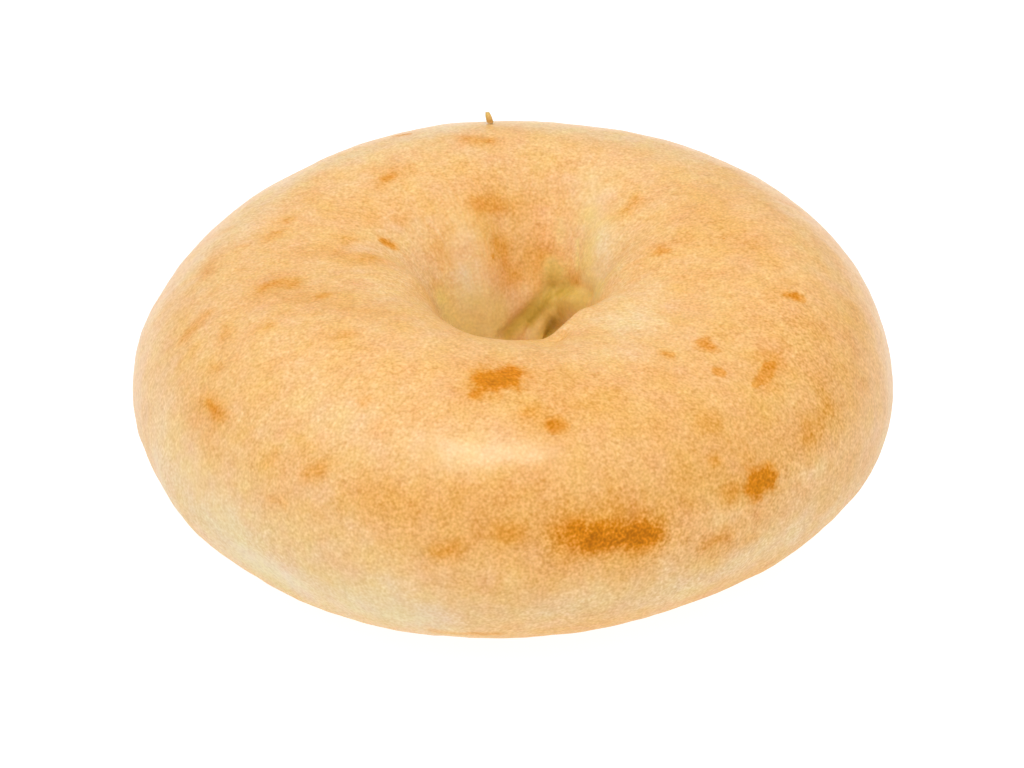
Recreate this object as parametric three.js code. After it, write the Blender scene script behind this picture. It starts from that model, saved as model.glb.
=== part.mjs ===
// A plain bagel, baked: one closed ring of dough.
//
// A rope of dough is wrapped round and pinched into a ring, boiled and baked on a tray. It puffs
// up into a fat ring with a flat base, and its hole nearly closes. The wall of the hole keeps the
// folds where the ends of the rope were pinched together.
//
// Millimetres, +Z up. The base lies on Z = 0, round the origin. The front is on the -Y side, and
// directions round the ring are in degrees: 0 is +X, 90 is +Y, the far side, 270 is the front.

import * as THREE from 'three';

// ---- driving dimensions ----

const outerRadius = 54;          // axis of the ring to the fullest part of the side
const height = 39;               // base to the top of the ring
const crestRadius = 31.9;        // axis to the line of highest points
const throatRadius = 9.9;        // axis to the narrowest part of the hole
const baseOuterRadius = 32;      // flat base, outer edge
const baseInnerRadius = 17;      // flat base, edge of the hole
const bellyHeight = 18;          // height at which the side is fullest
const throatHeight = 15;         // height at which the hole is narrowest

// How square each quarter of the ring's section is. At 2 it is an ellipse, above 2 it is fuller.
const squareness = { outerTop: 2.1, innerTop: 2.3, innerFoot: 2, outerFoot: 2 };

// Steps of the surface: round the ring, and over each stretch of the section.
const columns = 112;
const rows = { outerTop: 11, innerTop: 14, innerFoot: 8, base: 3, outerFoot: 10 };

// ---- unevenness of a ring shaped by hand ----

// Slow swells: times round the ring, rise in mm, and the direction where one is fullest.
const outerSwells = [
  { times: 1, rise: 0.28, at: 247 },
  { times: 2, rise: 1.1, at: 62 },
  { times: 3, rise: 0.3, at: -23 },
  { times: 4, rise: 0.5, at: -9 },
];
const heightSwells = [
  { times: 1, rise: 0.7, at: 85 },
  { times: 2, rise: 0.8, at: 67 },
  { times: 3, rise: 0.7, at: 1 },
];
const crestSwells = [{ times: 1, rise: 0.3, at: 32 }];
const baseSwells = [
  { times: 2, rise: 0.4, at: 64 },
  { times: 3, rise: 0.4, at: 15 },
];

// Local changes on one side of the ring: the direction of the middle, the half-width in degrees
// and the amount. A shoulder is how full the dough is where it turns down into the hole.
const shoulders = [
  { at: 188, width: 20, amount: 1.7 },
  { at: 205, width: 20, amount: 0.5 },
  { at: 262, width: 25, amount: -0.4 },
  { at: 316, width: 20, amount: 1.6 },
  { at: 345, width: 20, amount: 0.5 },
  { at: 5, width: 18, amount: 0.8 },
  { at: 72, width: 26, amount: -0.6 },
];
const throatBulges = [
  { at: 258, width: 16, amount: 0.4 },
  { at: 330, width: 25, amount: -0.4 },
  { at: 112, width: 14, amount: -1.0 },
];

// Folds and ridges on the wall of the hole. Each has its middle at a direction and at a place on
// the section (1 is the crest, 2 the throat), half-widths both ways, a slant in degrees for each
// unit down the section, and a rise off the surface in mm.
const folds = [
  { at: 110, down: 1.64, wide: 18, deep: 0.38, slant: 0, rise: 1.1 },
  { at: 147, down: 1.72, wide: 9, deep: 0.18, slant: 0, rise: -0.5 },
  { at: 97, down: 1.50, wide: 8, deep: 0.13, slant: 0, rise: -0.5 },
  { at: 61, down: 1.54, wide: 8, deep: 0.13, slant: 6, rise: -0.6 },
  { at: 40, down: 1.46, wide: 11, deep: 0.22, slant: 0, rise: 0.8 },
  { at: 20, down: 1.62, wide: 8, deep: 0.16, slant: 0, rise: -0.5 },
  { at: 74, down: 1.84, wide: 9, deep: 0.10, slant: 147, rise: -1.5 },
  { at: 54, down: 1.84, wide: 8, deep: 0.08, slant: 0, rise: -2.0 },
  { at: 69, down: 1.90, wide: 6, deep: 0.07, slant: 0, rise: 0.9 },
];

// ---- the plain ring ----

const radians = THREE.MathUtils.degToRad;

function swell(direction, swells) {
  return swells.reduce((sum, s) => sum + s.rise * Math.cos(s.times * radians(direction - s.at)), 0);
}

// Degrees from b to a, the short way round.
function between(a, b) {
  return THREE.MathUtils.euclideanModulo(a - b + 180, 360) - 180;
}

function bell(distance, halfWidth) {
  return Math.exp(-((distance / halfWidth) ** 2));
}

function local(direction, changes) {
  return changes.reduce((sum, c) => sum + c.amount * bell(between(direction, c.at), c.width), 0);
}

// A point on a rounded corner that reaches from (1, 0) to (0, 1) as t goes from 0 to 1.
function corner(t, square) {
  const across = Math.cos(t * Math.PI / 2);
  const up = Math.sin(t * Math.PI / 2);
  const size = (across ** square + up ** square) ** (-1 / square);
  return [across * size, up * size];
}

// The section at a direction: radius and height for a place on it, which goes from 0 at the
// belly over the crest (1) and down the hole (2) to the base (3 to 4) and back to the belly (5).
function section(direction, place) {
  const outer = outerRadius + swell(direction, outerSwells);
  const top = height + swell(direction, heightSwells);
  const crest = crestRadius + swell(direction, crestSwells);
  const throat = throatRadius + local(direction, throatBulges);
  const baseOuter = baseOuterRadius + swell(direction, baseSwells);
  const stretch = Math.floor(place);
  const t = place - stretch;
  if (stretch === 0) {
    const [across, up] = corner(t, squareness.outerTop);
    return [crest + (outer - crest) * across, bellyHeight + (top - bellyHeight) * up];
  }
  if (stretch === 1) {
    const [up, across] = corner(t, squareness.innerTop + local(direction, shoulders));
    return [crest - (crest - throat) * across, throatHeight + (top - throatHeight) * up];
  }
  if (stretch === 2) {
    const [across, down] = corner(t, squareness.innerFoot);
    return [baseInnerRadius - (baseInnerRadius - throat) * across, throatHeight * (1 - down)];
  }
  if (stretch === 3) {
    return [THREE.MathUtils.lerp(baseInnerRadius, baseOuter, t), 0];
  }
  const [down, across] = corner(t, squareness.outerFoot);
  return [baseOuter + (outer - baseOuter) * across, bellyHeight * (1 - down)];
}

function plainPoint(direction, place) {
  const [radius, up] = section(direction, place);
  return new THREE.Vector3(
    radius * Math.cos(radians(direction)),
    radius * Math.sin(radians(direction)),
    up,
  );
}

// ---- the folds on it ----

function outward(direction, place) {
  const small = 0.01;
  const round = plainPoint(direction + small * 20, place).sub(plainPoint(direction - small * 20, place));
  const over = plainPoint(direction, place + small).sub(plainPoint(direction, place - small));
  return round.cross(over).normalize();
}

function foldRise(direction, place) {
  return folds.reduce((sum, f) => {
    const middle = f.at + f.slant * (place - f.down);
    return sum + f.rise * bell(between(direction, middle), f.wide) * bell(place - f.down, f.deep);
  }, 0);
}

function skinPoint(direction, place) {
  const point = plainPoint(direction, place);
  if (place > 1 && place < 3) {
    point.addScaledVector(outward(direction, place), foldRise(direction, place));
  }
  return point;
}

// ---- the closed surface ----

function places() {
  return Object.values(rows).flatMap((steps, stretch) =>
    Array.from({ length: steps }, (_, step) => stretch + step / steps));
}

function ringGeometry() {
  const around = places();
  const positions = [];
  for (let column = 0; column < columns; column += 1) {
    const direction = 360 * column / columns;
    for (const place of around) {
      positions.push(...skinPoint(direction, place).toArray());
    }
  }
  const vertex = (column, row) => (column % columns) * around.length + (row % around.length);
  const triangles = [];
  for (let column = 0; column < columns; column += 1) {
    for (let row = 0; row < around.length; row += 1) {
      const near = vertex(column, row);
      const nearNext = vertex(column + 1, row);
      const far = vertex(column, row + 1);
      const farNext = vertex(column + 1, row + 1);
      triangles.push(near, nearNext, farNext, near, farNext, far);
    }
  }
  const geometry = new THREE.BufferGeometry();
  geometry.setAttribute('position', new THREE.Float32BufferAttribute(positions, 3));
  geometry.setIndex(triangles);
  geometry.computeVertexNormals();
  return geometry;
}

// ---- the bagel ----

const crust = new THREE.MeshStandardMaterial({ color: 0xf0bd7c, roughness: 0.55, metalness: 0 });

const ring = new THREE.Mesh(ringGeometry(), crust);
ring.name = 'bagel';

const part = new THREE.Group();
part.add(ring);

export default part;
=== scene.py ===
# %% [markdown]
# # A plain bagel
#
# A bagel is a rope of dough wrapped into a ring, boiled for a minute and baked on a tray. The
# boiling sets a thin skin, and the oven puffs the ring up under it, so the crust is tight and
# smooth from a distance, finely pebbled close by, and browned only where the heat was strongest.
#
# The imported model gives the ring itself, at its real size. It could be shown as it is with a good
# material, but its facets are about 3 mm wide, and the folds in the hole and the skin's small
# dents are finer than that. So this lesson copies it, rounds the copy, models the fine folds on
# it, and then spends most of its work on the colour of the crust.

# %% Load the frame
import math

import bmesh
import bpy
import numpy as np
from mathutils import Matrix, Vector, noise
from mathutils.bvhtree import BVHTree


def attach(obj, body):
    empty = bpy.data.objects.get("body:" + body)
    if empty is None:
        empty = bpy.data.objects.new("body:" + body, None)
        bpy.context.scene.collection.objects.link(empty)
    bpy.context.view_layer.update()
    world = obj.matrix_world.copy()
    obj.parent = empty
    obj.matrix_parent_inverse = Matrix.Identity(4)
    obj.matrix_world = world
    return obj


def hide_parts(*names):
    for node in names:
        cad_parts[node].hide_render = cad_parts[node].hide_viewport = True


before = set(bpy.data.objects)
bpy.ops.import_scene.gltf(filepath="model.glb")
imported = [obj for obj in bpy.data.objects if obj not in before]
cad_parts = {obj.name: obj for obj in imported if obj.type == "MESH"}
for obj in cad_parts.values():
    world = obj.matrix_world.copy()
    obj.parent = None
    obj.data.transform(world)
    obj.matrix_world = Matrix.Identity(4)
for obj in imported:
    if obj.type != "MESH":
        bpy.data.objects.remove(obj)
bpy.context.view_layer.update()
mm = 0.001

# %% [markdown]
# ## The camera
#
# Food on white is usually taken with a long lens from a seated eye's height, so that the near side
# isn't swollen. The camera comes first here, because folds and freckles are placed where it sees
# them: each one is a point in a picture 1024 wide and 768 high, and a ray through that point finds
# the spot on the crust. Placing them by hand in millimetres would work too, but it is slower to
# judge, and this way each mark is sure to lie on the surface.

# %% Set up the camera
image_width, image_height = 1024, 768
lens_mm, sensor_mm = 148.4, 36.0
camera_elevation = math.radians(29.3)
camera_distance = 600 * mm
aim_point = Vector((-0.3 * mm, 0, 17 * mm))

camera_data = bpy.data.cameras.new("camera")
camera_data.lens = lens_mm
camera_data.sensor_width = sensor_mm
camera_data.clip_start = 10 * mm
camera = bpy.data.objects.new("camera", camera_data)
bpy.context.scene.collection.objects.link(camera)
towards_camera = Vector((0, -math.cos(camera_elevation), math.sin(camera_elevation)))
camera.location = aim_point + towards_camera * camera_distance
camera.rotation_euler = towards_camera.to_track_quat("Z", "Y").to_euler()
bpy.context.scene.camera = camera
print("camera at", tuple(round(x, 3) for x in camera.location))


# %% A ray through a point of the picture
def ray_through(pixel):
    """Where the camera is, and the direction in which it sees a point of the picture."""
    sensor_per_pixel = sensor_mm / image_width
    right = (pixel[0] - image_width / 2) * sensor_per_pixel
    up = (image_height / 2 - pixel[1]) * sensor_per_pixel
    direction = camera.rotation_euler.to_matrix() @ Vector((right, up, -lens_mm))
    return camera.location.copy(), direction.normalized()


straight_ahead = ray_through((image_width / 2, image_height / 2))[1]
print("the middle of the picture is seen along", tuple(round(x, 3) for x in straight_ahead))


# %% [markdown]
# ## Shader sums written as sums
#
# The light of the room and the crust's material are a fair amount of arithmetic. Nodes added one at
# a time would hide it, so a small class wraps a socket, and plus, minus, times and divided-by make
# the maths nodes.

# %% Wrap a socket
class Wire:
    """A socket of a material, so that sums of sockets can be written as sums."""

    def __init__(self, socket):
        self.socket = socket

    @classmethod
    def node(cls, tree, kind, settings=None, sockets=None, output=0):
        """Add a node, set it up, wire or set its sockets, and return one of its outputs."""
        node = tree.nodes.new(kind)
        for name, value in (settings or {}).items():
            if name == "stops":
                cls.set_stops(node.color_ramp, value)
            else:
                setattr(node, name, value)
        for name, value in (sockets or {}).items():
            socket = next(s for s in node.inputs if name in (s.identifier, s.name))
            if isinstance(value, cls):
                tree.links.new(value.socket, socket)
            else:
                socket.default_value = value
        if isinstance(output, str):
            return cls(next(s for s in node.outputs if output in (s.identifier, s.name)))
        return cls(node.outputs[output])

    @staticmethod
    def set_stops(ramp, stops):
        """Give a colour ramp its stops, each a position and a colour."""
        while len(ramp.elements) < len(stops):
            ramp.elements.new(0.5)
        for element, (position, _) in zip(ramp.elements, stops):
            element.position = position
        for element, (_, colour) in zip(ramp.elements, stops):
            element.color = (*colour, 1)

    @property
    def tree(self):
        return self.socket.id_data

    def sum_with(self, operation, first, second):
        """A maths node on two terms, one of which is this wire."""
        wires = [term for term in (first, second) if isinstance(term, Wire)]
        if all(wire.socket.type == "VALUE" for wire in wires):
            return Wire.node(
                self.tree, "ShaderNodeMath", {"operation": operation},
                {"Value": first, "Value_001": second},
            )
        wide = [
            term if isinstance(term, (Wire, tuple)) else (term,) * 3 for term in (first, second)
        ]
        return Wire.node(
            self.tree, "ShaderNodeVectorMath", {"operation": operation},
            {"Vector": wide[0], "Vector_001": wide[1]},
        )

    def __add__(self, other):
        return self.sum_with("ADD", self, other)

    def __radd__(self, other):
        return self.sum_with("ADD", other, self)

    def __sub__(self, other):
        return self.sum_with("SUBTRACT", self, other)

    def __rsub__(self, other):
        return self.sum_with("SUBTRACT", other, self)

    def __mul__(self, other):
        return self.sum_with("MULTIPLY", self, other)

    def __rmul__(self, other):
        return self.sum_with("MULTIPLY", other, self)

    def __truediv__(self, other):
        return self.sum_with("DIVIDE", self, other)

    def __rtruediv__(self, other):
        return self.sum_with("DIVIDE", other, self)

    def smooth(self, low, high):
        """0 below low, 1 above high, and a soft step between them."""
        return Wire.node(
            self.tree, "ShaderNodeMapRange", {"interpolation_type": "SMOOTHSTEP"},
            {"Value": self, "From Min": low, "From Max": high},
        )

    def length(self):
        return Wire.node(
            self.tree, "ShaderNodeVectorMath", {"operation": "LENGTH"}, {"Vector": self}, "Value"
        )

    def mix(self, first, second):
        """The first colour where this wire is 0 and the second where it is 1."""
        first, second = [c if isinstance(c, Wire) else (*c, 1) for c in (first, second)]
        return Wire.node(
            self.tree, "ShaderNodeMix", {"data_type": "RGBA"},
            {"Factor_Float": self, "A_Color": first, "B_Color": second}, "Result_Color",
        )


# %% [markdown]
# ## Light and floor
#
# A studio lights bread like this with one wide soft box above the camera, and white all round, so
# that the shadows are faint and the low sides stay bright. The soft box is an area light. The
# white room is a world that is brightest overhead, where a real one has its white ceiling, and a
# little brighter on the left, and this light also reaches down into the hole. The floor is a big
# pale sheet that glows, as a light table does, which all but washes out the shadow under the ring.
# Blender's usual view transform greys whites, so the plainer Standard one is set.

# %% Hang the soft box
key_bearing, key_height = math.radians(3), math.radians(66)
key_distance = 0.9
key_direction = Vector((
    math.sin(key_bearing) * math.cos(key_height),
    -math.cos(key_bearing) * math.cos(key_height),
    math.sin(key_height),
))
key_data = bpy.data.lights.new("soft box", "AREA")
key_data.shape = "RECTANGLE"
key_data.size, key_data.size_y = 0.42, 0.22
key_data.energy = 2.7
key = bpy.data.objects.new("soft box", key_data)
bpy.context.scene.collection.objects.link(key)
key.location = key_direction * key_distance
key.rotation_euler = key_direction.to_track_quat("Z", "Y").to_euler()
print("soft box at", tuple(round(x, 2) for x in key.location))

# %% Light the white room
world = bpy.data.worlds.new("white room")
world.use_nodes = True
wall_light, ceiling_light = 0.46, 1.20
left_excess = 0.15
ceiling_from, ceiling_to = 0.1, 1.0  # height on a ball round the ring, where 1 is overhead
looking = Wire.node(world.node_tree, "ShaderNodeTexCoord", output="Generated")
rightwards, upwards = [
    Wire.node(world.node_tree, "ShaderNodeSeparateXYZ", sockets={"Vector": looking}, output=axis)
    for axis in ("X", "Z")
]
overhead = upwards.smooth(ceiling_from, ceiling_to)
room_light = overhead * (ceiling_light - wall_light) + wall_light
room_light = room_light * (1 - rightwards * left_excess)
world.node_tree.links.new(
    room_light.socket, world.node_tree.nodes["Background"].inputs["Strength"]
)
world.node_tree.nodes["Background"].inputs["Color"].default_value = (1, 1, 1, 1)
bpy.context.scene.world = world
bpy.context.scene.view_settings.view_transform = "Standard"
print("room light from", wall_light, "at the walls to", ceiling_light, "overhead")

# %% Lay the floor
floor_reach = 3.0
floor_gap = 0.05 * mm  # so that the floor and the base don't flicker
floor_grey, floor_glow = 0.25, 0.92
floor_mesh = bmesh.new()
bmesh.ops.create_grid(floor_mesh, x_segments=1, y_segments=1, size=floor_reach)
bmesh.ops.translate(floor_mesh, verts=floor_mesh.verts[:], vec=(0, 0, -floor_gap))
floor_data = bpy.data.meshes.new("floor")
floor_mesh.to_mesh(floor_data)
floor_mesh.free()
floor = bpy.data.objects.new("floor", floor_data)
bpy.context.scene.collection.objects.link(floor)
floor_paint = bpy.data.materials.new("pale floor")
floor_paint.use_nodes = True
floor_shader = floor_paint.node_tree.nodes["Principled BSDF"]
floor_shader.inputs["Base Color"].default_value = (floor_grey, floor_grey, floor_grey, 1)
floor_shader.inputs["Roughness"].default_value = 0.9
floor_shader.inputs["Emission Color"].default_value = (1, 1, 1, 1)
floor_shader.inputs["Emission Strength"].default_value = floor_glow
floor_data.materials.append(floor_paint)
print("floor, in m across:", floor_reach * 2)

# %% [markdown]
# ## The rounded ring
#
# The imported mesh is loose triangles. They are merged, joined back in pairs into the squares that
# they were cut from, and rounded with two levels of subdivision, which leaves squares about
# 0.7 mm wide. Sculpting or remeshing could give the same, but a regular grid that follows the ring
# takes folds and dents most evenly.

# %% Copy, merge and round the ring
subdivision_levels = 2
same_point = 0.001 * mm
ring = bmesh.new()
ring.from_mesh(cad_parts["bagel"].data)
bmesh.ops.remove_doubles(ring, verts=ring.verts[:], dist=same_point)
bmesh.ops.join_triangles(
    ring, faces=ring.faces[:], angle_face_threshold=math.pi, angle_shape_threshold=math.pi
)
coarse_data = bpy.data.meshes.new("coarse ring")
ring.to_mesh(coarse_data)
ring.free()
coarse = bpy.data.objects.new("coarse ring", coarse_data)
bpy.context.scene.collection.objects.link(coarse)
rounding = coarse.modifiers.new("rounding", "SUBSURF")
rounding.levels = rounding.render_levels = subdivision_levels
crust_data = bpy.data.meshes.new_from_object(
    coarse.evaluated_get(bpy.context.evaluated_depsgraph_get())
)
bpy.data.objects.remove(coarse)
crust_data.name = "crust"
bagel = bpy.data.objects.new("bagel_crust", crust_data)
bpy.context.scene.collection.objects.link(bagel)
print("squares on the crust:", len(crust_data.polygons))


# %% Read and write its points
def read_points():
    """The crust's points and the directions that they face, as two arrays."""
    points = np.empty(len(crust_data.vertices) * 3)
    crust_data.vertices.foreach_get("co", points)
    facing = np.empty(len(crust_data.vertices) * 3, np.float32)
    crust_data.vertex_normals.foreach_get("vector", facing)
    return points.reshape(-1, 3), facing.reshape(-1, 3).astype(float)


def write_points(points):
    """Move the crust's points."""
    crust_data.vertices.foreach_set("co", points.ravel())
    crust_data.update()


print("points on the crust:", len(read_points()[0]))


# %% [markdown]
# ## Lines drawn on the crust
#
# Creases, blotches and freckles are all drawn in one way: as a line through a few points of the
# picture, cast on the crust, with a half-width. For every point of the mesh the distance to that
# line is worked out, and what the line does fades with it. A painted mask could hold them too, but
# lines can be read, moved and named one by one.

# %% Cast lines on the crust
pixels_per_step = 6


def crust_tree():
    """The crust as it is now, ready for rays."""
    mesh = bmesh.new()
    mesh.from_mesh(crust_data)
    tree = BVHTree.FromBMesh(mesh)
    mesh.free()
    return tree


def trace(tree, *pixels):
    """Places on the crust under a line through some points of the picture."""
    path = []
    for start, end in zip(pixels, pixels[1:] or pixels):
        steps = max(1, round(math.dist(start, end) / pixels_per_step))
        for step in range(steps + 1):
            share = step / steps
            pixel = [a + (b - a) * share for a, b in zip(start, end)]
            place = tree.ray_cast(*ray_through(pixel))[0]
            if place is None:
                raise ValueError(f"nothing is under {pixel}")
            path.append(place)
    return np.array(path)


rim_pixel = (512, 380)
near_rim = trace(crust_tree(), rim_pixel)[0]
print("the near rim, in mm:", [round(x / mm, 1) for x in near_rim])

# %% Measure distances to a line
shortest_step = 1e-6  # m


def nearest_on(points, path):
    """Each point's distance to a path of short straight steps, and the nearest place on it."""
    distance = np.full(len(points), np.inf)
    nearest = np.zeros_like(points)
    for start, end in zip(path, path[1:]):
        along = end - start
        share = np.clip((points - start) @ along / max(along @ along, shortest_step**2), 0, 1)
        place = start + share[:, None] * along
        apart = np.linalg.norm(points - place, axis=1)
        closer = apart < distance
        distance[closer] = apart[closer]
        nearest[closer] = place[closer]
    return distance, nearest


def bell(distance, half_width):
    """1 on a line, fading softly to a third at its half-width and to nothing at twice that."""
    return np.exp(-((distance / half_width) ** 2))


def smooth(value, low, high):
    """0 below low, 1 above high, and a soft step between them."""
    share = np.clip((value - low) / (high - low), 0, 1)
    return share * share * (3 - 2 * share)


print("a bell at 0, 1 and 2 half-widths:", np.round(bell(np.arange(3), 1), 2))


# %% [markdown]
# ## Creases in the hole
#
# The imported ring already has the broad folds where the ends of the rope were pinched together. On
# a real bagel thin creases run along their feet, with a lip of skin over them, because the boiled
# skin can't stretch where it is pushed inwards. Each one here is a line with a depth, and a lip is
# a line beside it that rises. Wider lines, with a rise of a millimetre or less, make the low sides
# swell or sink a little, as they do where hands have held the dough. A sculpting brush could do
# all this, but its strokes have no names and no sizes.

# %% Press in the creases
creases = {
    # points of the picture, half-width in mm, rise in mm
    "foot of the left lobe": (
        ((503, 336), (513, 326), (527, 313), (540, 300), (549, 286)), 1.05, -0.6),
    "lip of the left lobe": (
        ((502, 326), (511, 315), (523, 303), (535, 291)), 1.2, 0.2),
    "ridge in the crease": (
        ((516, 336), (527, 323), (540, 309), (552, 298)), 0.6, 0.3),
    "second crease": (
        ((527, 330), (536, 318), (547, 309), (560, 303)), 0.7, -0.4),
    "pale lump": (((532, 335), (538, 326)), 1.1, 0.5),
    "hollow": (((549, 335), (553, 328)), 1.5, -1.5),
    "fill under the short lip": (((556, 314), (566, 308), (577, 305)), 2.0, 1.3),
    "short lip": (((552, 301), (560, 299)), 0.5, 0.3),
    "lip of the right fold": (
        ((566, 302), (574, 298), (583, 299), (589, 304)), 0.5, 0.35),
    "crease over that lip": (((556, 291), (568, 288), (578, 287), (588, 292)), 1.4, -0.7),
    "swelling of the near lip": (((566, 330), (573, 323), (583, 315)), 1.8, 0.7),
    "swelling, low in front": (((395, 623), (430, 629), (460, 631)), 5.0, 0.45),
    "swelling, low on the left": (((175, 490), (188, 510)), 6.0, 1.0),
    "hollow, low on the right": (((770, 558), (800, 538)), 6.0, -0.85),
    "hollow, low in front": (((258, 570), (284, 586)), 4.5, -0.8),
    "line beside the right lobe": (((578, 240), (578, 268)), 0.35, -0.12),
    "short line over the hole": (((571, 196), (574, 190)), 0.4, -0.2),
    "short line on the left": (((428, 223), (433, 228)), 0.4, -0.2),
    "corner of the near lip": (((548, 341), (557, 335)), 1.9, -0.95),
    "upper wrinkle, low on the left": (((268, 536), (292, 541)), 0.3, -0.15),
    "lower wrinkle, low on the left": (((284, 560), (305, 564), (326, 566)), 0.3, -0.15),
}
tree = crust_tree()
points, facing = read_points()
lift = np.zeros(len(points))
for line, half_width, rise in creases.values():
    distance, _ = nearest_on(points, trace(tree, *line))
    lift += rise * mm * bell(distance, half_width * mm)
write_points(points + facing * lift[:, None])
print("creases:", len(creases), "deepest, in mm:", round(-lift.min() / mm, 2))

# %% [markdown]
# ## An uneven skin
#
# Dough puffs unevenly, so even a smooth bagel has low lumps the width of a finger, soft dents a
# few millimetres wide, and fine pebbling. The lumps and dents are real shape, made by moving the
# points along their normals with smooth noise. The base was pressed flat by the tray, so it stays
# as it is. Shader displacement isn't used, because it would be lost outside this renderer.

# %% Raise lumps and dents
lump_kinds = [(25, 0.35), (9, 0.13), (3.2, 0.05), (1.7, 0.03)]  # width and rise, mm
noise_gain = 1.6  # smooth noise seldom leaves -0.6 to 0.6
noise_stride = Vector((17.3, 5.1, 9.7))
flat_below, free_above = 0.2 * mm, 5 * mm


def noise_over(points, width, seed):
    """Smooth noise between about -1 and 1, with lumps of the given width."""
    start = noise_stride * seed
    return noise_gain * np.array([noise.noise(Vector(point) / width + start) for point in points])


points, facing = read_points()
above_tray = smooth(points[:, 2], flat_below, free_above)
lift = sum(
    rise * mm * noise_over(points, width * mm, seed)
    for seed, (width, rise) in enumerate(lump_kinds, start=1)
)
points = points + facing * (lift * above_tray)[:, None]
points[:, 2] = np.maximum(points[:, 2], 0)
write_points(points)
print("lumps from", round(lift.min() / mm, 2), "to", round(lift.max() / mm, 2), "mm")

# %% [markdown]
# ## A dried shred of dough
#
# A shred of dough has dried to a small blunt point that stands up from the far side. A cone set
# on the skin would do, but its foot would show as a ring. Here it is drawn out of one square of
# the skin in three steps, so that it stays part of the same surface.

# %% Draw out the shred
shred_foot = (490, 124)
shred_lean = Vector((-0.25, 0.1, 1.0))
shred_steps = [(0.4, 1.8), (0.8, 0.9), (0.6, 0.65)]  # mm along, width beside the step before
skin = bmesh.new()
skin.from_mesh(crust_data)
foot = Vector(trace(crust_tree(), shred_foot)[0])
square = min(skin.faces, key=lambda face: (face.calc_center_median() - foot).length)
for rise, share in shred_steps:
    square = bmesh.ops.extrude_discrete_faces(skin, faces=[square])["faces"][0]
    bmesh.ops.translate(skin, verts=square.verts[:], vec=shred_lean * rise * mm)
    middle = square.calc_center_median()
    bmesh.ops.scale(
        skin, verts=square.verts[:], vec=(share,) * 3, space=Matrix.Translation(-middle)
    )
shred_tip = square.calc_center_median()
skin.to_mesh(crust_data)
skin.free()
print("the shred's tip, in mm:", [round(x / mm, 1) for x in shred_tip])

# %% [markdown]
# ## Where the oven browned it
#
# Browning follows heat and shape: the top turns golden, the shoulder of the side a little more,
# the low sides stay the colour of dough, the foot browns again close to the tray, and the base,
# which lay on it, is the darkest. This is one number for each point, called
# toast because a few paler patches drawn into it below are painted light, and
# the material turns it into a colour. A gradient in the material could give the big steps too, but
# a number on the points can also hold what is drawn one by one.

# %% Work out the browning of a plain ring
points, facing = read_points()
height = points[:, 2] / mm
radius = np.hypot(points[:, 0], points[:, 1]) / mm
top_toast = 0.38
shoulder_toast, shoulder_height, shoulder_width = 0.07, 29, 7
low_paleness, pale_below, palest_below = 0.14, 20, 8
foot_toast, foot_below, foot_full_below = 0.15, 13, 7
tray_toast, tray_below = 0.62, 1.2
outside_from, outside_full = 30, 40  # mm from the axis
outside = smooth(radius, outside_from, outside_full)
toast = top_toast + shoulder_toast * bell(height - shoulder_height, shoulder_width) * outside
toast += foot_toast * smooth(foot_below - height, 0, foot_below - foot_full_below) * outside
toast -= low_paleness * smooth(pale_below - height, 0, pale_below - palest_below) * outside
print("toast before the patches from", round(toast.min(), 2), "to", round(toast.max(), 2))
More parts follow.
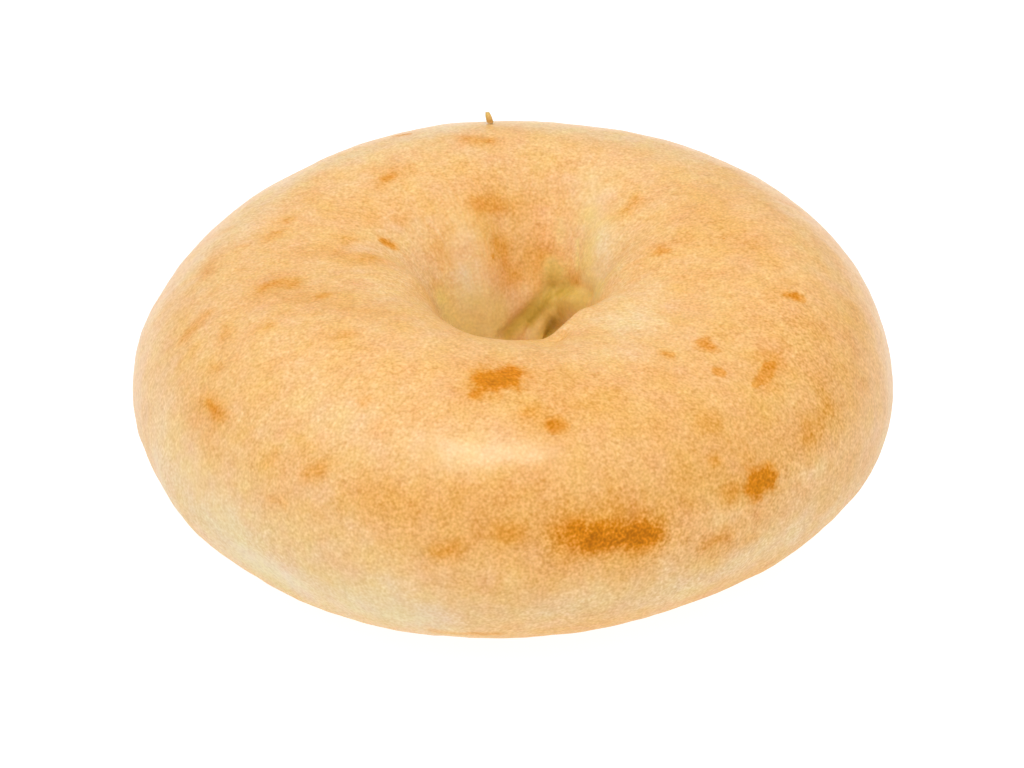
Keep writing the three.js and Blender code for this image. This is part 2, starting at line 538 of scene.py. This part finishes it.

# %% [markdown]
# Patches and blurred marks are drawn on top of that as soft lines, in the same way as the creases:
# some brown the crust and some leave it paler. A few of the paler ones are painted light rather
# than browning: a painted highlight where the soft box shines and where light catches the
# near-right lump, painted fill light in the shaded hole, and, together with paler dough, a painted
# sheen along the outline. Each is noted at its line. Real ones have wandering edges, so each point
# is moved a little by smooth noise before it is measured. A patch is a number added to the
# browning, so where two of them cross they brown together, as heat does.

# %% Draw the patches
patches = [
    # points of the picture, half-width in mm, toast added
    # the orange band across the front, and the darkest patch in it
    (((350, 498), (450, 520), (560, 532), (680, 515)), 3.6, 0.06),
    (((345, 500), (440, 488), (545, 484)), 2.2, 0.06),
    (((577, 536), (606, 536), (652, 535)), 1.9, 0.27),
    (((592, 543), (634, 542)), 1.5, 0.17),
    (((600, 526), (640, 526)), 1.3, 0.08),
    (((650, 536), (661, 538)), 1.6, 0.22),
    (((552, 535), (566, 531), (578, 526)), 1.1, 0.10),
    (((560, 516), (640, 510)), 2.6, 0.05),
    (((560, 552), (600, 556), (640, 552)), 2.6, 0.07),
    # warmer zones
    (((570, 395), (630, 405), (690, 425)), 6.0, 0.05),
    (((700, 490), (750, 478)), 5.0, 0.05),
    (((806, 440), (818, 425), (826, 408)), 2.6, 0.14),
    (((790, 300), (815, 330)), 4.0, 0.05),
    (((735, 235), (760, 255)), 3.0, 0.06),
    (((690, 230), (640, 260)), 3.0, 0.02),
    (((270, 290), (345, 305), (395, 320)), 3.4, 0.09),
    (((300, 250), (350, 257), (380, 262)), 2.3, 0.13),
    (((340, 210), (400, 205)), 3.0, 0.06),
    (((470, 170), (474, 200)), 2.5, 0.06),
    (((370, 222), (381, 218)), 1.6, 0.10),
    (((330, 335), (480, 368), (650, 380)), 4.0, 0.04),
    (((700, 210), (760, 330)), 8.0, 0.06),
    (((560, 556), (640, 560)), 3.0, 0.04),
    (((470, 360), (520, 372), (560, 400)), 4.0, 0.05),
    (((462, 398), (492, 392)), 2.5, 0.10),
    (((480, 206), (496, 207)), 2.0, 0.22),
    (((508, 206), (520, 212)), 1.5, 0.08),
    (((500, 244), (505, 258), (512, 275)), 2.1, 0.20),
    (((536, 256), (541, 267), (545, 276)), 2.0, 0.12),
    (((441, 247), (445, 264)), 1.2, 0.10),
    (((440, 288), (446, 306)), 1.4, 0.10),
    (((571, 288), (586, 292)), 1.7, 0.20),
    (((549, 258), (552, 270), (556, 282), (574, 285)), 2.0, 0.14),
    (((536, 208), (542, 232)), 2.0, 0.08),
    (((550, 425), (530, 412)), 2.0, 0.08),
    (((445, 552), (500, 536)), 2.4, 0.03),
    (((432, 631), (465, 634), (498, 634)), 0.8, 0.25),
    # small blurred marks
    (((269, 238), (279, 235)), 1.4, 0.20),
    (((238, 247), (243, 246)), 0.8, 0.15),
    (((204, 274), (208, 264)), 1.5, 0.2),
    (((266, 286), (281, 281), (293, 284)), 2.0, 0.24),
    (((285, 221), (290, 219)), 0.9, 0.14),
    (((223, 233), (229, 229)), 1.0, 0.15),
    (((320, 297), (324, 296)), 1.2, 0.2),
    (((226, 326), (226, 335)), 1.2, 0.16),
    (((186, 336), (194, 327)), 1.4, 0.2),
    (((206, 316), (210, 312)), 1.2, 0.16),
    (((258, 331), (266, 327)), 1.2, 0.15),
    (((342, 335), (351, 334)), 1.0, 0.12),
    (((214, 366), (218, 365)), 1.3, 0.2),
    (((208, 401), (213, 408)), 1.3, 0.22),
    (((219, 414), (224, 419)), 1.0, 0.2),
    (((365, 402), (368, 401)), 0.7, 0.2),
    (((374, 431), (388, 431)), 1.3, 0.1),
    (((310, 474), (320, 470)), 1.3, 0.2),
    (((268, 462), (273, 460)), 1.1, 0.14),
    (((268, 498), (279, 502)), 0.8, 0.2),
    (((346, 242), (352, 240)), 1.2, 0.16),
    (((366, 258), (374, 256)), 1.0, 0.12),
    (((398, 220), (405, 218)), 0.9, 0.12),
    (((384, 181), (391, 177), (398, 173)), 1.7, 0.2),
    (((466, 140), (478, 140), (488, 141)), 1.5, 0.28),
    (((522, 414), (530, 413)), 1.0, 0.14),
    (((437, 556), (452, 551)), 1.6, 0.2),
    (((503, 535), (515, 533)), 1.3, 0.12),
    (((631, 208), (637, 200)), 1.5, 0.22),
    (((656, 254), (663, 249)), 0.7, 0.2),
    (((666, 353), (669, 355)), 0.6, 0.25),
    (((768, 384), (776, 368), (772, 362)), 2.0, 0.14),
    (((706, 424), (716, 420)), 1.5, 0.1),
    (((712, 462), (717, 460)), 0.8, 0.16),
    (((724, 494), (734, 490)), 1.3, 0.14),
    (((712, 543), (728, 538)), 1.8, 0.22),
    (((747, 541), (758, 537)), 1.0, 0.15),
    (((783, 202), (792, 206)), 0.9, 0.2),
    # paler zones; some are painted light, as noted above them
    # painted highlight: the soft box's fainter highlight, left of the main one
    (((300, 405), (380, 438), (440, 450)), 3.4, -0.05),
    (((200, 370), (235, 480), (330, 555)), 8.0, -0.06),
    # painted fill light: paler across the shaded hole
    (((420, 260), (480, 310), (560, 300), (610, 250)), 7.0, -0.09),
    (((462, 280), (490, 290)), 3.0, -0.04),
    (((457, 280), (462, 302)), 2.3, -0.09),
    # painted fill light on the shaded inner slope of the left rim
    (((422, 274), (428, 290)), 1.6, -0.05),
    # painted highlight: paler where the soft box's highlight falls
    (((430, 446), (480, 448), (535, 450)), 2.6, -0.05),
    (((598, 245), (608, 275), (613, 300)), 3.0, -0.07),
    (((240, 520), (300, 555), (380, 575)), 5.0, -0.07),
    (((260, 430), (330, 490), (430, 468), (530, 450)), 6.0, -0.05),
    # partly paler dough, partly painted sheen along the top of the outline
    (((540, 126), (640, 140), (690, 158)), 3.0, -0.13),
    # the next two: painted highlight where light catches the near-right lump
    (((598, 318), (642, 322)), 3.4, -0.12),
    (((620, 352), (650, 285)), 3.0, -0.06),
    (((588, 180), (600, 240)), 2.6, -0.14),
    (((466, 235), (472, 300)), 2.0, -0.1),
    # painted fill light on the shaded inner slope of the left rim
    (((395, 270), (420, 300)), 3.0, -0.05),
    (((180, 480), (240, 555), (330, 605), (430, 624)), 6.0, -0.24),
    # the next three: partly paler dough, partly painted sheen along the outline
    (((155, 320), (158, 458)), 6.0, -0.13),
    (((185, 275), (240, 215), (320, 165), (450, 128)), 3.5, -0.17),
    (((560, 608), (690, 590), (800, 520)), 3.5, -0.08),
    (((768, 554), (800, 532)), 3.0, -0.06),
    # partly paler dough, partly painted sheen along the outline
    (((778, 207), (815, 245), (845, 285)), 2.5, -0.05),
    (((722, 520), (738, 510)), 1.0, -0.10),
    (((208, 285), (212, 312)), 2.2, -0.06),
    (((242, 236), (262, 214)), 2.5, -0.10),
    (((320, 398), (348, 425), (352, 450)), 3.0, -0.05),
    (((806, 474), (822, 470)), 1.2, -0.14),
]
wander_reach, wander_width = 0.9 * mm, 2.6 * mm
wander_seed = 715
noise.seed_set(wander_seed)  # without it, noise_vector starts from the clock
tree = crust_tree()
uneven = points + wander_reach * np.array([
    noise.noise_vector(Vector(point) / wander_width) for point in points
])
for line, half_width, amount in patches:
    distance, _ = nearest_on(uneven, trace(tree, *line))
    toast += amount * bell(distance, half_width * mm)
on_the_tray = smooth(tray_below - height, 0, tray_below)
toast += (tray_toast - toast) * on_the_tray
toast_data = crust_data.attributes.new("toast", "FLOAT", "POINT")
toast_data.data.foreach_set("value", toast)
print("toast from", round(toast.min(), 2), "to", round(toast.max(), 2))

# %% [markdown]
# The skin is also sandier in some places than in others: coarse where it browned hardest and
# dried, and fine where it stayed pale or was stretched tight. It is also made finer under the
# painted highlight of the soft box. This is one more number for each point, 1 on plain skin. It
# could follow from the browning alone, but tight pale skin and dry pale skin look different.

# %% Work out the sandiness
sandy_lines = [
    # points of the picture, half-width in mm, sandiness added
    (((800, 330), (830, 430), (760, 520), (700, 545)), 7.0, 0.2),
    (((560, 536), (654, 534)), 3.0, 0.6),
    # finer grain under the painted highlight of the soft box
    (((430, 452), (550, 454)), 2.5, -0.35),
    (((190, 480), (260, 570), (420, 620)), 6.0, -0.35),
    (((470, 230), (480, 325), (580, 300)), 5.0, -0.4),
    (((590, 190), (600, 260)), 3.0, -0.3),
]
sandiness = np.ones(len(points))
for line, half_width, amount in sandy_lines:
    distance, _ = nearest_on(points, trace(tree, *line))
    sandiness += amount * bell(distance, half_width * mm)
sandiness_data = crust_data.attributes.new("sandiness", "FLOAT", "POINT")
sandiness_data.data.foreach_set("value", sandiness)
print("sandiness from", round(sandiness.min(), 2), "to", round(sandiness.max(), 2))

# %% [markdown]
# ## Damp folds, with painted shade in their creases
#
# Inside the folds the dough stays damp and hardly browns, and little light gets in, so the creases
# look olive; their colour is darkened further as painted shade, over the damp dough's own olive.
# The swells between them stay the pale yellow of raw dough. These are two more numbers for each
# point, both drawn as lines. Little heat gets to the near wall of the hole or to the foot of any
# wall, so those are doughy all over. One number could serve both, but then each dark crease would
# get a pale rim where it fades.

# %% Work out the folds' damp colour and painted shade, and how doughy they are
damp_and_shade_lines = [
    # points of the picture, half-width in mm, how damp and how deep the painted shade
    (((508, 334), (518, 325), (531, 311), (542, 301), (549, 293), (553, 285)), 1.3, 0.78),
    (((552, 284), (552, 272), (552, 266)), 1.5, 0.6),
    (((544, 312), (549, 307), (560, 304), (582, 301)), 2.0, 0.6),
    (((529, 321), (536, 313), (545, 303), (552, 296), (562, 291)), 1.15, 0.86),
    (((560, 292), (572, 294), (586, 297)), 1.6, 0.7),
    (((556, 317), (563, 312)), 1.4, 0.62),
    (((546, 336), (550, 328), (554, 320)), 1.5, 0.92),
    (((556, 270), (556, 282), (566, 287)), 1.6, 0.6),
]
doughy_lines = [
    (((532, 334), (540, 327)), 1.3, 0.45),
    (((578, 240), (578, 266)), 0.5, 0.45),
    (((560, 222), (561, 240)), 1.0, 0.25),
    (((440, 298), (447, 312), (455, 324)), 1.8, 0.4),
    (((452, 318), (470, 328), (495, 333)), 3.0, 0.42),
    (((468, 300), (495, 312)), 2.6, 0.33),
    (((588, 278), (600, 292)), 1.8, 0.42),
    (((592, 215), (588, 262)), 2.4, 0.27),
]
throat_doughiness = 0.45
throat_radius, throat_edge = 13, 19  # mm from the axis
throat_depth, throat_top = 13, 20  # mm above the tray
turned_from, turned_full = 0.1, 0.5  # cosine of how far a wall turns from the camera
shred_moistness, shred_reach = 0.7, 1.3 * mm
in_the_throat = 1 - smooth(radius, throat_radius, throat_edge)
near_wall = smooth(-facing @ np.array(towards_camera), turned_from, turned_full)
deep_down = 1 - smooth(height, throat_depth, throat_top)
out_of_the_heat = np.maximum(near_wall, deep_down)
throat_dough = throat_doughiness * in_the_throat * out_of_the_heat * (1 - on_the_tray)
for name, lines in (("moist", damp_and_shade_lines), ("doughy", doughy_lines)):
    values = throat_dough if name == "doughy" else np.zeros(len(points))
    for line, half_width, amount in lines:
        distance, _ = nearest_on(points, trace(tree, *line))
        values = np.maximum(values, amount * bell(distance, half_width * mm))
    if name == "moist":
        to_the_shred = np.linalg.norm(points - np.array(shred_tip), axis=1)
        values = np.maximum(values, shred_moistness * bell(to_the_shred, shred_reach))
    crust_data.attributes.new(name, "FLOAT", "POINT").data.foreach_set("value", values)
    print(name, "points:", int((values > 0.1).sum()))

# %% [markdown]
# ## Freckles
#
# Tiny blisters rise in the skin while the bagel boils, and they scorch first, so they end as crisp
# orange freckles with ragged edges. Their edges are finer than the squares of the mesh. So each
# point of the mesh only stores where the nearest freckle is, its reach and its strength, and the
# material measures the distance and draws the edge. Noise with a threshold would be quicker, but
# it puts freckles where it likes. Those that face the camera are listed one by one, and the rest
# are strewn over the hidden side by a seeded rule.

# %% List the freckles
freckles = [
    # start and end in the picture, half-width in mm, strength
    ((395, 136), (408, 134), 0.7, 0.7),
    ((385, 179), (392, 176), 0.9, 0.35),
    ((384, 242), (392, 246), 1.1, 1.0),
    ((272, 232), (280, 232), 0.6, 0.3),
    ((209, 403), (214, 409), 0.8, 0.25),
    ((491, 380), (505, 376), 2.9, 0.78),
    ((475, 395), (484, 388), 1.0, 0.6),
    ((555, 426), (561, 424), 1.3, 0.5),
    ((440, 554), (450, 551), 0.7, 0.1),
    ((757, 485), (767, 480), 2.3, 0.88),
    ((766, 380), (773, 364), 0.8, 0.35),
    ((756, 384), (768, 366), 0.8, 0.45),
    ((790, 295), (796, 297), 1.3, 0.8),
    ((703, 343), (711, 347), 1.5, 0.75),
    ((717, 371), (721, 373), 1.0, 0.55),
    ((724, 236), (724, 238), 0.3, 0.9),
    ((664, 500), (666, 500), 0.35, 0.7),
    ((576, 288), (585, 290), 1.1, 0.3),
    ((493, 255), (493, 257), 0.45, 0.5),
]
print("freckles drawn by hand:", len(freckles))

# %% Store the freckles on the points
strewn_count = 26
strewn_seed = 11
strewn_behind, strewn_above, strewn_outside = -15, 8, 15  # mm
strewn_lengths = 0.3, 2.2  # mm
strewn_half_widths = 0.5, 1.6  # mm
strewn_strengths = 0.3, 0.9
ragged_margin = 0.6  # how far past its reach a freckle's ragged edge may run, in reaches
rng = np.random.default_rng(strewn_seed)
behind = points @ np.array(towards_camera) / mm < strewn_behind
candidates = np.flatnonzero(behind & (height > strewn_above) & (radius > strewn_outside))

near = np.zeros_like(points)
reach = np.full(len(points), mm)  # never 0, because the material divides by it
strength = np.zeros(len(points))
closeness = np.full(len(points), -ragged_margin)


def draw_freckle(path, half_width, amount):
    """Give the points in and just round a freckle what the material needs to draw it."""
    distance, place = nearest_on(points, path)
    share = 1 - distance / half_width
    nearer = share > closeness
    closeness[nearer] = share[nearer]
    near[nearer] = place[nearer]
    reach[nearer] = half_width
    strength[nearer] = amount


for start, end, half_width, amount in freckles:
    draw_freckle(trace(tree, start, end), half_width * mm, amount)
for chosen in rng.choice(candidates, strewn_count, replace=False):
    sideways = np.cross(facing[chosen], rng.normal(size=3))
    length = rng.uniform(*strewn_lengths) * mm
    end = points[chosen] + sideways / np.linalg.norm(sideways) * length
    draw_freckle(
        np.array([points[chosen], end]),
        rng.uniform(*strewn_half_widths) * mm,
        rng.uniform(*strewn_strengths),
    )

for name, values in (("freckle_reach", reach), ("freckle_strength", strength)):
    crust_data.attributes.new(name, "FLOAT", "POINT").data.foreach_set("value", values)
near_data = crust_data.attributes.new("freckle_place", "FLOAT_VECTOR", "POINT")
near_data.data.foreach_set("vector", near.ravel())
print("freckles:", len(freckles) + strewn_count)


# %% [markdown]
# ## The crust's material
#
# One number, how browned the crust is, runs through a ramp from dough to scorched. It is the
# stored number of each point, browning with a few patches of painted light in it, plus cloudy
# patches, mottling, fine streaks, the freckles, and a fine grain. A separate noise for each colour
# channel would be easier to tune by eye, but it gives colours that bread never has. All patterns
# sit in the space of the object, in millimetres, so they stay on the crust when it moves.

# %% Start the material with positions on the crust
crust_paint = bpy.data.materials.new("baked crust")
crust_paint.use_nodes = True
paint_tree = crust_paint.node_tree
crust_shader = paint_tree.nodes["Principled BSDF"]
place = Wire.node(paint_tree, "ShaderNodeTexCoord", output="Object") / mm
seed_stride = 173.0


def stored(name, output="Fac"):
    """A number or a place that was stored on the points of the mesh."""
    return Wire.node(paint_tree, "ShaderNodeAttribute", {"attribute_name": name}, output=output)


def cloud(width, detail=2.0, roughness=0.5, seed=0.0):
    """Noise from about -1 to 1 with lumps of a width in mm, in the space of the object."""
    value = Wire.node(
        paint_tree, "ShaderNodeTexNoise", None,
        {
            "Vector": place + (seed_stride * seed, 0.0, 0.0),
            "Scale": 1 / width, "Detail": detail, "Roughness": roughness,
        },
    )
    return value * 4 - 2


print("numbers stored on the crust:", [layer.name for layer in crust_data.attributes])

# %% [markdown]
# As the ring swells, its skin is pulled from the belly over the crest and down the hole, which
# leaves faint streaks that way. Noise that is stretched along one axis would run straight through
# the ring. So this noise reads two directions instead: the one round the ring, at a fine scale, and
# the one round its section, at a coarse one. Each is two numbers, so the noise has four dimensions.

# %% Streaks that run over the ring's section
tube_radius_mm, tube_height_mm = 32, 17
fineness_round_the_ring, fineness_over_the_section = 34, 3
hole_radius_mm, crest_radius_mm = 16, 34
flat_place = place * (1.0, 1.0, 0.0)
ring_radius = flat_place.length()
ring_direction = flat_place / ring_radius
lifted = Wire.node(paint_tree, "ShaderNodeSeparateXYZ", sockets={"Vector": place}, output="Z")
section_across = ring_radius - tube_radius_mm
section_up = lifted - tube_height_mm
section_size = Wire.node(
    paint_tree, "ShaderNodeMath", {"operation": "SQRT"},
    {"Value": section_across * section_across + section_up * section_up},
)
streak_place = Wire.node(
    paint_tree, "ShaderNodeCombineXYZ",
    sockets={"Z": section_across / section_size * fineness_over_the_section},
) + ring_direction * fineness_round_the_ring
streaks = Wire.node(
    paint_tree, "ShaderNodeTexNoise", {"noise_dimensions": "4D"},
    {
        "Vector": streak_place, "W": section_up / section_size * fineness_over_the_section,
        "Scale": 1.0, "Detail": 2.0, "Roughness": 0.6,
    },
) * 4 - 2
in_the_hole = 1 - ring_radius.smooth(hole_radius_mm, crest_radius_mm)
print("nodes for the streaks and before:", len(paint_tree.nodes))

# %% [markdown]
# The grain of the skin comes in three widths, because one alone looks like print. The freckles get
# their edges here: each place on the crust is measured against the freckle that its points name,
# and a little noise moves the edge in and out.

# %% Sand and freckles
sand = cloud(1.5, 1.0, seed=1.0) * 0.17 + cloud(0.6, 0.0, seed=2.0) * 0.26
sand = (sand + cloud(0.36, 0.0, seed=2.5) * 0.39) * stored("sandiness")

freckle_faint, freckle_full = -0.35, 0.75  # 0 is its plain edge and 1 its middle
ragged = cloud(1.0, 2.0, 0.6, seed=3.0) * 0.2 + cloud(2.4, 1.0, seed=4.0) * 0.3
freckle_gap = (place - stored("freckle_place", "Vector") / mm).length()
freckle_depth = 1 - freckle_gap / (stored("freckle_reach") / mm) + ragged
freckle = freckle_depth.smooth(freckle_faint, freckle_full) * stored("freckle_strength")
print("nodes for the sand and freckles and before:", len(paint_tree.nodes))

# %% [markdown]
# Bread turns from cream over gold to orange brown as it bakes, and the ramp follows that. The
# yellow of raw dough and the olive of damp folds, darkened in the creases as painted shade, aren't
# on that road, so they are mixed in after the ramp, where the points say so. The grain also shades
# the colour a little, as the low spots between its bumps do, and a faint rosy cloud takes the
# evenness out of it.

# %% Brown the crust
blotches = cloud(16, 2.0, seed=5.0) * 0.04 + cloud(5.5, 2.0, seed=6.0) * 0.05
mottling = cloud(2.6, 1.0, seed=6.5) * 0.025
streak_toast, streak_toast_in_the_hole = 0.015, 0.03
sand_toast, freckle_toast = 0.13, 0.42
browning_with_painted_light = stored("toast") + blotches + mottling
browning_with_painted_light = browning_with_painted_light + streaks * (streak_toast + in_the_hole * streak_toast_in_the_hole)
browning_with_painted_light = browning_with_painted_light + sand * sand_toast + freckle * freckle_toast

crust_colours = [
    (0.00, (0.760, 0.620, 0.390)),
    (0.20, (0.765, 0.520, 0.255)),
    (0.40, (0.750, 0.420, 0.145)),
    (0.60, (0.690, 0.315, 0.056)),
    (0.80, (0.620, 0.212, 0.006)),
    (1.00, (0.470, 0.145, 0.000)),
]
colour = Wire.node(
    paint_tree, "ShaderNodeValToRGB", {"stops": crust_colours}, {"Fac": browning_with_painted_light}
)
print("colours from cream to scorched:", len(crust_colours))

# %% Add the dough, the damp folds with their painted shade, and the tint
doughy_colour = (0.77, 0.56, 0.21)
# damp olive, darkened towards the deepest creases as painted shade
damp_and_shade_colours = [
    (0.35, (0.70, 0.45, 0.135)),
    (0.70, (0.60, 0.38, 0.08)),
    (1.00, (0.35, 0.215, 0.012)),
]
all_dough, all_damp_and_shade = 0.5, 0.5  # the stored number from which nothing of the ramp is left
sand_shade = 0.17
rosy_tint = (0.0, -0.03, 0.1)
colour = stored("doughy").smooth(0, all_dough).mix(colour, doughy_colour)
crease_damp_and_shade = stored("moist")
damp_and_shade_colour = Wire.node(paint_tree, "ShaderNodeValToRGB", {"stops": damp_and_shade_colours}, {"Fac": crease_damp_and_shade})
colour = crease_damp_and_shade.smooth(0, all_damp_and_shade).mix(colour, damp_and_shade_colour)
rosy = cloud(4.2, 2.0, seed=9.0)
colour = colour * (1 - sand * sand_shade) + colour * rosy * rosy_tint
print("nodes for the colour and before:", len(paint_tree.nodes))

# %% [markdown]
# The boil gels the starch, which dries to a thin gloss over soft bread. That is a clear coat over a
# rough body, and fine pebbling spreads the light of the soft box in it to a pale sheen. The gloss
# is weaker in the hole and low on the side, and dies where the crust browned hard. Light goes a
# millimetre or so into pale bread, so the shader scatters a little under the surface too.

# %% Pebbling, sheen and the finished shader
low_shine, high_shine = 0.2, 0.8
shine_low_mm, shine_high_mm = 6, 26
dull_from, dull_to = 0.5, 0.85  # how browned
dull_in_the_hole, dull_where_browned = 0.5, 0.85
pebble_height = 0.03 * mm
streak_height = 0.4  # beside a pebble's
pebbles = cloud(0.8, 2.0, 0.55, seed=7.0) + cloud(2.2, 1.0, seed=8.0) * 0.5
pebble_bump = Wire.node(
    paint_tree, "ShaderNodeBump", None,
    {
        "Strength": 1.0, "Distance": pebble_height,
        "Height": pebbles + streaks * in_the_hole * streak_height,
    },
)
shine = low_shine + lifted.smooth(shine_low_mm, shine_high_mm) * (high_shine - low_shine)
shine = shine * (1 - in_the_hole * dull_in_the_hole)
shine = shine * (1 - browning_with_painted_light.smooth(dull_from, dull_to) * dull_where_browned)
for name, wire in {"Base Color": colour, "Coat Weight": shine, "Normal": pebble_bump}.items():
    paint_tree.links.new(wire.socket, crust_shader.inputs[name])

skin_and_crumb = {
    "Roughness": 0.6,
    "Specular IOR Level": 0.05,
    "Coat Roughness": 0.28,
    "Coat IOR": 1.38,
    "Subsurface Weight": 0.2,
    "Subsurface Radius": (1.0, 0.5, 0.2),
    "Subsurface Scale": 1.5 * mm,
}
for name, value in skin_and_crumb.items():
    crust_shader.inputs[name].default_value = value
crust_data.materials.clear()
crust_data.materials.append(crust_paint)
print("nodes in the crust's material:", len(paint_tree.nodes))

# %% [markdown]
# ## Finish
#
# The rounded crust takes the imported ring's place on the body.

# %% Hand over
crust_data.polygons.foreach_set("use_smooth", [True] * len(crust_data.polygons))
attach(bagel, "root")
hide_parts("bagel")
